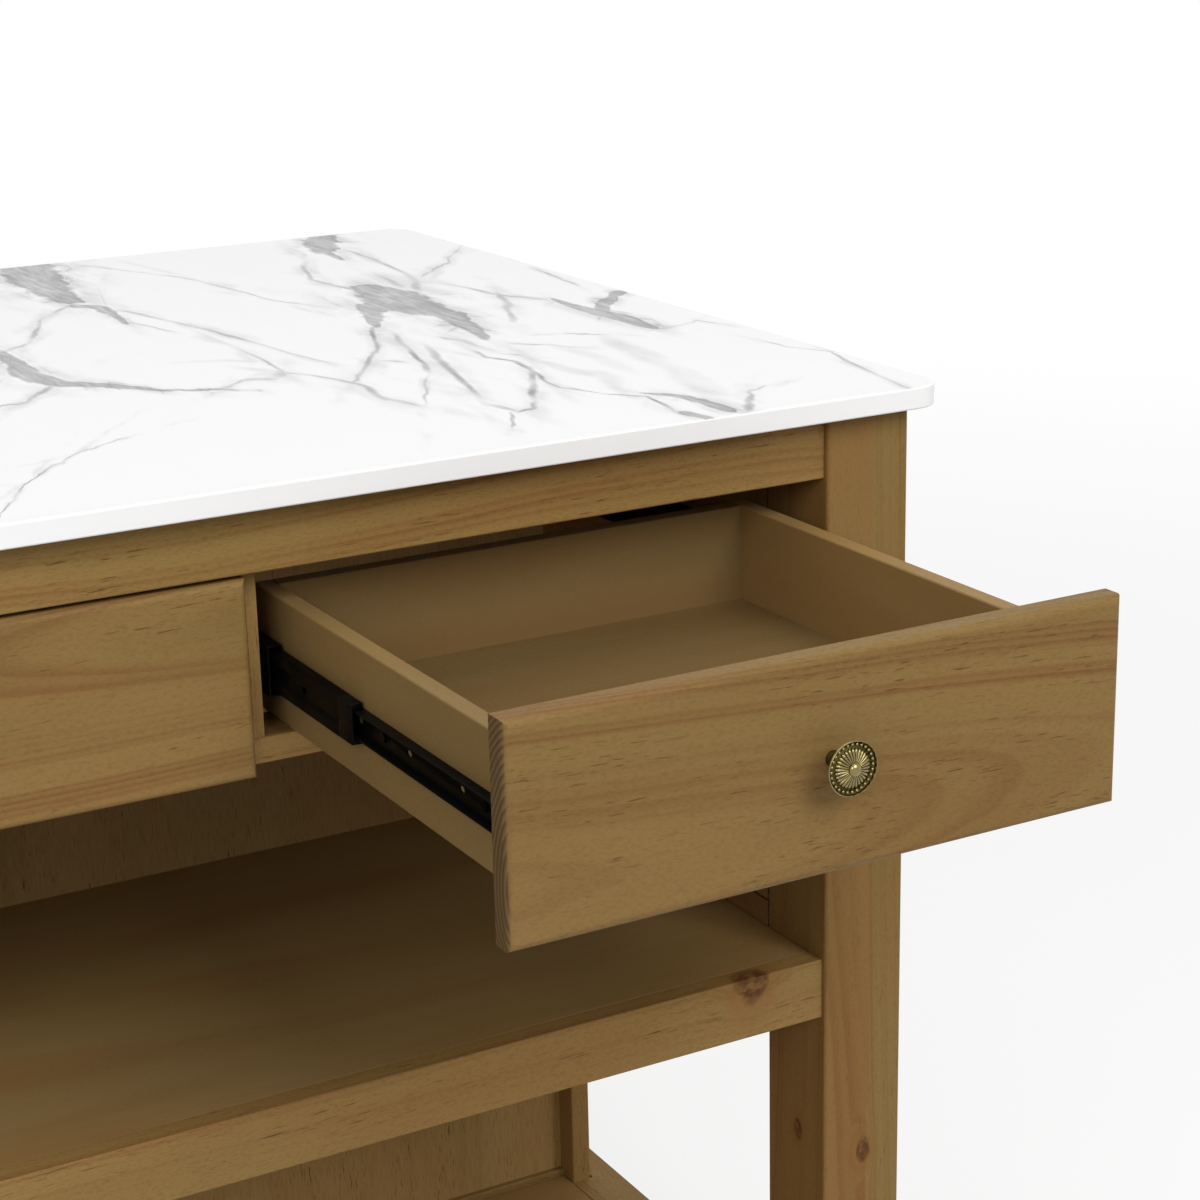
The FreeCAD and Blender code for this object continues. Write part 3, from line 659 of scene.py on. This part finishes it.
class ISLAND_OT_pine_frame(bpy.types.Operator):
    """Finish legs, rails, divider and stretchers in stained pine"""

    bl_idname = "island.pine_frame"
    bl_label = "Pine frame"

    def execute(self, context):
        # Tones above 1 are partly painted light: they lift legs, rails and divider where the slab and the
        # open drawer shade them.
        glue_share = 0.55
        for leg in ("front_right_leg", "front_left_leg", "rear_right_leg", "rear_left_leg"):
            low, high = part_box(leg)
            leg_width = high.x - low.x
            glue = low.x + glue_share * leg_width
            knots = ()
            if leg == "front_right_leg":
                knots = (
                    ((glue - 3 * MM, low.y, 0.309), (6 * MM, 9 * MM, 12 * MM)),
                    ((low.x, low.y + 37 * MM, 0.321), (9 * MM, 6 * MM, 9 * MM)),
                )
            stain(leg, "Z", (10, 75, 0), (0.02, 0.03), ring=1.2, contrast=0.8, sway=0.7, flecks=0.5,
                  cast=(0.35, 0.3), joints=("X", glue - leg_width, leg_width), tone_and_painted_light=1.08, knots=knots)
        for rail in ("front_top_rail", "rear_top_rail", "back_panel_top_rail"):
            stain(rail, "X", (0, -70, -60), (0.03, 0.02), contrast=0.9, cast=(0.6, 0.1), tone_and_painted_light=1.25)
        for rail in ("right_side_top_rail", "left_side_top_rail", "right_stretcher", "left_stretcher"):
            stain(rail, "Y", (60, 10, -50), (0.02, 0.03), contrast=0.8, tone_and_painted_light=1.3)
        stain("drawer_rail", "X", (0, 40, 60), (0.02, 0.03), contrast=0.7, tone_and_painted_light=1.4)
        stain("centre_divider", "Z", (50, 40, 0), (0.02, 0.02), contrast=0.5, tone_and_painted_light=1.3)
        return {"FINISHED"}


class ISLAND_OT_shelves(bpy.types.Operator):
    """Finish shelves, their rails and cleats"""

    bl_idname = "island.shelves"
    bl_label = "Shelves"

    def execute(self, context):
        # The tones are partly painted light: they lift shelves and rails that sit in the drawers' shade.
        for level in ("middle", "bottom"):
            rail = f"{level}_shelf_rail"
            low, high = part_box(rail)
            knots = ()
            if level == "middle":
                knots = (((0.373, low.y, high.z), (15 * MM, 16 * MM, 19 * MM)),)
            stain(rail, "X", (0, -90, -60), (0.03, 0.02), contrast=0.7, tone_and_painted_light=1.18, knots=knots)
            stain(f"{level}_shelf_cleats", "X", (0, 60, 40), contrast=0.7)
            stain(f"{level}_shelf", "X", (0, 60, -160), (0.05, 0.04), ring=3.4, contrast=0.25, flecks=0.1,
                  cast=(0.4, 0.4), tone_and_painted_light=1.2, veneer=True)
        return {"FINISHED"}


class ISLAND_OT_back_and_sides(bpy.types.Operator):
    """Finish back panel, posts and planked sides"""

    bl_idname = "island.back_and_sides"
    bl_label = "Back and sides"

    def execute(self, context):
        # The back panel's tone of 1.5 and the posts' tone are painted light, lifting them out of the shade
        # behind drawers and shelves.
        planks = 6
        stain("back_panel", "Z", (120, 200, 0), (0.03, 0.05), ring=3.0, contrast=0.5, flecks=1.2,
              fibre_mm=22.22, cast=(0.25, 0.25), tone_and_painted_light=1.5, veneer=True)
        stain("back_panel_bottom_rail", "X", (0, 60, -40), contrast=0.7)
        for hand in HANDS:
            stain(f"{hand}_back_post", "Z", (40, 60, 0), (0.02, 0.02), contrast=0.6, tone_and_painted_light=1.15)
            sides = f"{hand}_side_planks"
            low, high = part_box(sides)
            pitch = (high.z - low.z) / planks
            stain(sides, "Y", (70, 0, 20), (0.03, 0.02), contrast=0.7, joints=("Z", low.z, pitch))
        return {"FINISHED"}


class ISLAND_OT_drawer_boxes(bpy.types.Operator):
    """Finish drawer fronts, boxes and slide battens"""

    bl_idname = "island.drawer_boxes"
    bl_label = "Drawer boxes"

    def execute(self, context):
        piths = {"right": (0, -84, -34), "left": (0, -80, 42)}
        leans = {"right": (-0.03, 0.05), "left": (0.03, -0.05)}
        casts = {"right": (0.3, 0.3), "left": (0.5, 0.1)}
        # Painted light and shade: the fronts' tones partly, the right-hand sides lifted because their inner
        # faces are shaded in the box, and the backs and bottoms dulled.
        front_tones_and_painted_light = {"right": 0.98, "left": 1.06}
        side_painted_light_tones = {"right": 1.25, "left": 0.98}
        for hand in HANDS:
            stain(f"{hand}_drawer_front", "X", piths[hand], leans[hand], contrast=0.8, sway=0.8, flecks=0.8,
                  cast=casts[hand], tone_and_painted_light=front_tones_and_painted_light[hand])
            for side in ("left", "right"):
                stain(f"{hand}_drawer_{side}_side", "Y", (140, 0, 40), (0.04, 0.03), ring=3.5, contrast=0.2,
                      flecks=0.1, tone_and_painted_light=side_painted_light_tones[side], veneer=True)
                stain(f"{hand}_drawer_{side}_slide_batten", "Y", (50, 0, 30), contrast=0.6)
            for board, pith in (("back", (0, 140, 40)), ("bottom", (0, 40, 150))):
                stain(f"{hand}_drawer_{board}", "X", pith, (0.04, 0.03), ring=3.5, contrast=0.2, flecks=0.1,
                      tone_and_painted_light=0.78, veneer=True)
        return {"FINISHED"}


class ISLAND_OT_knobs(bpy.types.Operator):
    """Model the ornamented brass knobs"""

    bl_idname = "island.knobs"
    bl_label = "Knobs"

    def execute(self, context):
        finish = context.scene.island_brass
        low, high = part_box("right_drawer_knob")
        axis_x = (low.x + high.x) / 2
        axis_z = (low.z + high.z) / 2
        base = high.y
        reach = high.y - low.y
        rim = (high.x - low.x) / 2
        bright = metal("worn_antique_brass", finish.bright, finish.patina, tarnish_share=0.4,
                       tarnish_size=3 * MM, roughness=0.1, lacquer=1.0)
        dark = metal("brass_patina", finish.patina, finish.bright, tarnish_share=0.12,
                     tarnish_size=2 * MM, roughness=0.42)

        # Turned body from the foot on the drawer front, over stem and rim, into the dish: radius and reach
        # in mm. On the lip the radius is counted from the rim.
        outline = (
            (5.0, 0.0), (5.0, 0.9), (4.8, 1.6), (4.4, 2.4), (4.2, 4.0), (4.2, 6.5), (4.6, 9.0), (5.7, 11.5),
            (8.2, 14.0), (11.5, 16.6), (14.8, 18.4), (16.5, 19.3),
        )
        lip = ((0.0, 20.2), (-0.1, 20.7), (-0.4, 21.0), (-0.7, 20.9), (-0.95, 20.4), (-1.15, 19.2))
        dish = (
            (14.6, 18.6), (13.2, 18.5), (12.3, 18.8), (10.8, 19.6), (8.8, 20.4), (6.4, 21.1), (4.4, 21.5),
        )
        sides = 72
        dish_margin = 1.25 * MM
        bright_from = base - 18 * MM
        steps = [(r * MM, base - d * MM) for r, d in outline]
        steps += [(rim + r * MM, base - d * MM) for r, d in lip]
        steps += [(r * MM, base - d * MM) for r, d in dish]
        body = turned("knob_body", axis_x, axis_z, steps, sides)
        body.data.materials.append(bright)
        body.data.materials.append(dark)
        for face in body.data.polygons:
            off_axis = math.hypot(face.center.x - axis_x, face.center.z - axis_z)
            in_dish = off_axis < rim - dish_margin
            behind = face.center.y > bright_from
            face.material_index = 1 if in_dish or behind else 0

        # Centre button.
        button_radius = 4.2 * MM
        button_squash = 0.65
        button_sunk = 1 * MM
        button_base = base - reach + button_radius * button_squash
        button = ball(button_radius, (axis_x, button_base, axis_z), segments=32, rings=16,
                      turn=(math.pi / 2, 0, 0))
        bpy.ops.object.mode_set(mode="EDIT")
        bpy.ops.mesh.select_all(action="SELECT")
        bpy.ops.transform.resize(
            value=(1.0, button_squash, 1.0), center_override=(axis_x, button_base, axis_z)
        )
        bpy.ops.mesh.bisect(
            plane_co=(axis_x, button_base + button_sunk, axis_z), plane_no=(0, 1, 0), use_fill=True,
            clear_outer=True,
        )
        bpy.ops.object.mode_set(mode="OBJECT")
        button.data.materials.append(bright)

        # One gadroon, pointing up: narrow at the button and full at its outer end, then repeated round the
        # axis. The ring of gadroons is domed and rises towards the button.
        inner, outer = 3.9 * MM, 12.3 * MM
        length = outer - inner
        middle = axis_z + (inner + outer) / 2
        rib_y = base - 19.3 * MM
        same_height = 2e-6
        rib = ball(length / 2, (axis_x, rib_y, middle), segments=16, rings=14)
        full_width = 1.13 * MM
        narrow_share = 0.3
        blunt_end = 0.15
        tip = 0.001
        height_share = 1.1
        crown = 2.7 * MM
        for height in sorted({round(v.co.z, 6) for v in rib.data.vertices}):
            along = min(max((height - axis_z - inner) / length, tip), 1 - tip)
            taper = narrow_share + (1 - narrow_share) * along
            half_width = full_width * taper * min(1.0, math.sqrt((1 - along) / blunt_end))
            width = half_width / (length * math.sqrt(along * (1 - along)))
            rise = crown * (1 - ((height - axis_z) / outer) ** 2)
            bpy.ops.object.mode_set(mode="EDIT")
            bpy.ops.mesh.select_all(action="DESELECT")
            bpy.ops.object.mode_set(mode="OBJECT")
            for vertex in rib.data.vertices:
                vertex.select = abs(vertex.co.z - height) < same_height
            bpy.ops.object.mode_set(mode="EDIT")
            bpy.ops.transform.resize(
                value=(width, width * height_share, 1.0), center_override=(axis_x, rib_y, height)
            )
            bpy.ops.transform.translate(value=(0.0, -rise, 0.0))
            bpy.ops.object.mode_set(mode="OBJECT")
        rib.data.materials.append(bright)
        ringed(axis_x, rib_y, axis_z, finish.gadroons)

        # Beads in the channel inside the rim.
        bead_radius = 1.05 * MM
        bead_circle = 14.4 * MM
        bead_y = base - 19.3 * MM
        bead = ball(bead_radius, (axis_x, bead_y, axis_z + bead_circle), segments=12, rings=8)
        bead.data.materials.append(bright)
        ringed(axis_x, bead_y, axis_z, finish.beads)

        knob = joined([body, button, rib, bead], "right_knob")
        smoothed(knob, degrees=40)
        other_low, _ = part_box("left_drawer_knob")
        twin = copied(knob, "left_knob", other_low - low)
        for hand, piece in (("right", knob), ("left", twin)):
            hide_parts(f"{hand}_drawer_knob")
            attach(piece, f"{hand}_drawer")
        return {"FINISHED"}


class ISLAND_OT_slides(bpy.types.Operator):
    """Round the edges of the black slides and their stops, and paint them"""

    bl_idname = "island.slides"
    bl_label = "Slides"

    def execute(self, context):
        finish = context.scene.island_slides
        paint = black_paint("black_coated_steel", finish.paint, roughness=0.36)
        plastic = black_paint("black_moulded_plastic", finish.plastic, roughness=0.45)
        flat_within = math.radians(1)
        sharp_from = math.radians(40)
        pieces = []
        for hand in HANDS:
            dress(f"{hand}_drawer_slide_screws", paint)
            pieces.append((f"{hand}_drawer_slide_stops", f"{hand}_slide_middles", plastic, "black_plastic"))
            for side in ("left", "right"):
                slide = f"{hand}_drawer_{side}_slide"
                pieces.append((f"{slide}_outer", "carcass", paint, "black_steel"))
                pieces.append((f"{slide}_middle", f"{hand}_slide_middles", paint, "black_steel"))
                pieces.append((f"{slide}_inner", f"{hand}_drawer", paint, "black_steel"))
        for node, body, material, slot in pieces:
            deselect()
            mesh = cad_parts[node].data.copy()
            piece = bpy.data.objects.new(node + "_rounded", mesh)
            context.collection.objects.link(piece)
            piece.select_set(True)
            context.view_layer.objects.active = piece
            bpy.ops.object.mode_set(mode="EDIT")
            bpy.ops.mesh.select_all(action="SELECT")
            bpy.ops.mesh.remove_doubles(threshold=0.001 * MM)
            bpy.ops.mesh.dissolve_limited(angle_limit=flat_within)
            bpy.ops.object.mode_set(mode="OBJECT")
            rounding = piece.modifiers.new("rounding", "BEVEL")
            rounding.width = finish.edge
            rounding.segments = 2
            rounding.limit_method = "ANGLE"
            rounding.angle_limit = sharp_from
            bpy.ops.object.modifier_apply(modifier=rounding.name)
            mesh.materials.clear()
            mesh.materials.append(material)
            smoothed(piece, degrees=35)
            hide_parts(node)
            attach(piece, body)
        return {"FINISHED"}


class ISLAND_OT_screws(bpy.types.Operator):
    """Finish the knobs' screws in plated steel"""

    bl_idname = "island.screws"
    bl_label = "Screws"

    def execute(self, context):
        finish = context.scene.island_slides
        steel = metal("zinc_plated_steel", finish.steel, linear("#55565a"), tarnish_share=0.3,
                      tarnish_size=2 * MM, roughness=0.3)
        for hand in HANDS:
            dress(f"{hand}_drawer_knob_screw", steel)
        return {"FINISHED"}


class ISLAND_OT_stage(bpy.types.Operator):
    """Set up floor, lights, world and camera"""

    bl_idname = "island.stage"
    bl_label = "Stage"

    def execute(self, context):
        scene = context.scene
        light = scene.island_studio
        deselect()
        floor_size = 80.0
        bpy.ops.mesh.primitive_plane_add(size=floor_size)
        floor = context.object
        floor.name = "studio_floor"
        material = blank_material("pale_floor")
        tree = material.node_tree
        matte = add(tree, "BsdfDiffuse", {"Color": light.floor})
        glow = add(tree, "Emission", {"Color": (1, 1, 1, 1), "Strength": 1.0})
        seen = self.seen(tree)

        # Near the island the floor takes its shadow, and further off it runs out into white.
        shaded_within = 1.5
        white_from = 5.0
        near_glow = 0.72
        place = add(tree, "TexCoord", {}, "Object")
        away = add(tree, "VectorMath", {0: place}, "Value", operation="LENGTH")
        share = add(tree, "MapRange", {
            0: away, 1: shaded_within, 2: white_from, 3: near_glow, 4: 1.0,
        }, **EASED)
        white = add(tree, "BsdfDiffuse", {"Color": (1, 1, 1, 1)})
        shown = add(tree, "MixShader", {0: share, 1: white, 2: glow})
        surface = add(tree, "MixShader", {0: seen, 1: matte, 2: shown})
        add(tree, "OutputMaterial", {"Surface": surface})
        floor.data.materials.append(material)

        aim_at = Vector((0.0, 0.0, 0.7))
        for name, stand, size, power in (
            ("key_light", (1.1, -5.1, 4.6), 3.4, light.key_power),
            ("fill_light", (-4.2, -4.8, 4.0), 3.0, light.fill_power),
            ("top_light", (0.0, 0.3, 3.6), 3.0, light.top_power),
        ):
            bpy.ops.object.light_add(type="AREA", location=stand)
            lamp = context.object
            lamp.name = name
            lamp.data.energy = power
            lamp.data.size = size
            lamp.rotation_euler = (aim_at - Vector(stand)).to_track_quat("-Z", "Y").to_euler()

        world = bpy.data.worlds.new("white_studio")
        scene.world = world
        world.use_nodes = True
        tree = world.node_tree
        tree.nodes.clear()
        strength = add(tree, "MapRange", {0: self.seen(tree), 3: light.ambient, 4: 1.0})
        sky = add(tree, "Background", {"Color": (1, 1, 1, 1), "Strength": strength})
        add(tree, "OutputWorld", {"Surface": sky})

        yaw, pitch, roll = light.camera_turn
        ahead = Vector((math.sin(yaw) * math.cos(pitch), math.cos(yaw) * math.cos(pitch), -math.sin(pitch)))
        right = Vector((math.cos(yaw), -math.sin(yaw), 0.0))
        down = ahead.cross(right)
        rolled_right = right * math.cos(roll) + down * math.sin(roll)
        rolled_down = down * math.cos(roll) - right * math.sin(roll)
        bpy.ops.object.camera_add()
        camera = context.object
        camera.name = "photo_camera"
        camera.data.sensor_width = 36.0
        camera.data.lens = light.lens
        turn = Matrix((rolled_right, -rolled_down, -ahead)).transposed()
        camera.matrix_world = Matrix.Translation(light.camera_place) @ turn.to_4x4()
        scene.camera = camera
        scene.view_settings.view_transform = "Standard"
        return {"FINISHED"}

    @staticmethod
    def seen(tree):
        """1 for rays that show the background: from the camera, in gloss and through glass."""
        rays = [add(tree, "LightPath", {}, name) for name in
                ("Is Camera Ray", "Is Glossy Ray", "Is Transmission Ray")]
        some = add(tree, "Math", {0: rays[0], 1: rays[1]}, operation="MAXIMUM")
        return add(tree, "Math", {0: some, 1: rays[2]}, operation="MAXIMUM")


OPERATORS = (
    ISLAND_OT_marble_top,
    ISLAND_OT_pine_frame,
    ISLAND_OT_shelves,
    ISLAND_OT_back_and_sides,
    ISLAND_OT_drawer_boxes,
    ISLAND_OT_knobs,
    ISLAND_OT_slides,
    ISLAND_OT_screws,
    ISLAND_OT_stage,
)
SETTINGS = {
    "island_pine": PineFinish,
    "island_marble": MarbleFinish,
    "island_brass": BrassFinish,
    "island_slides": SlideFinish,
    "island_studio": StudioLight,
}


class ISLAND_PT_looks(bpy.types.Panel):
    """Finishes of the island, in the order in which they are made"""

    bl_idname = "ISLAND_PT_looks"
    bl_label = "Kitchen island"
    bl_space_type = "VIEW_3D"
    bl_region_type = "UI"
    bl_category = "Island"

    def draw(self, context):
        for operator in OPERATORS:
            self.layout.operator(operator.bl_idname)
        for name in SETTINGS:
            group = getattr(context.scene, name)
            box = self.layout.box()
            for key in group.bl_rna.properties.keys():
                if key not in ("rna_type", "name"):
                    box.prop(group, key)


def register():
    for name, group in SETTINGS.items():
        bpy.utils.register_class(group)
        setattr(bpy.types.Scene, name, PointerProperty(type=group))
    for operator in OPERATORS:
        bpy.utils.register_class(operator)
    bpy.utils.register_class(ISLAND_PT_looks)


def unregister():
    bpy.utils.unregister_class(ISLAND_PT_looks)
    for operator in reversed(OPERATORS):
        bpy.utils.unregister_class(operator)
    for name, group in reversed(SETTINGS.items()):
        delattr(bpy.types.Scene, name)
        bpy.utils.unregister_class(group)


def main():
    register()
    bpy.ops.island.marble_top()
    bpy.ops.island.pine_frame()
    bpy.ops.island.shelves()
    bpy.ops.island.back_and_sides()
    bpy.ops.island.drawer_boxes()
    bpy.ops.island.knobs()
    bpy.ops.island.slides()
    bpy.ops.island.screws()
    bpy.ops.island.stage()


if __name__ == "__main__":
    main()
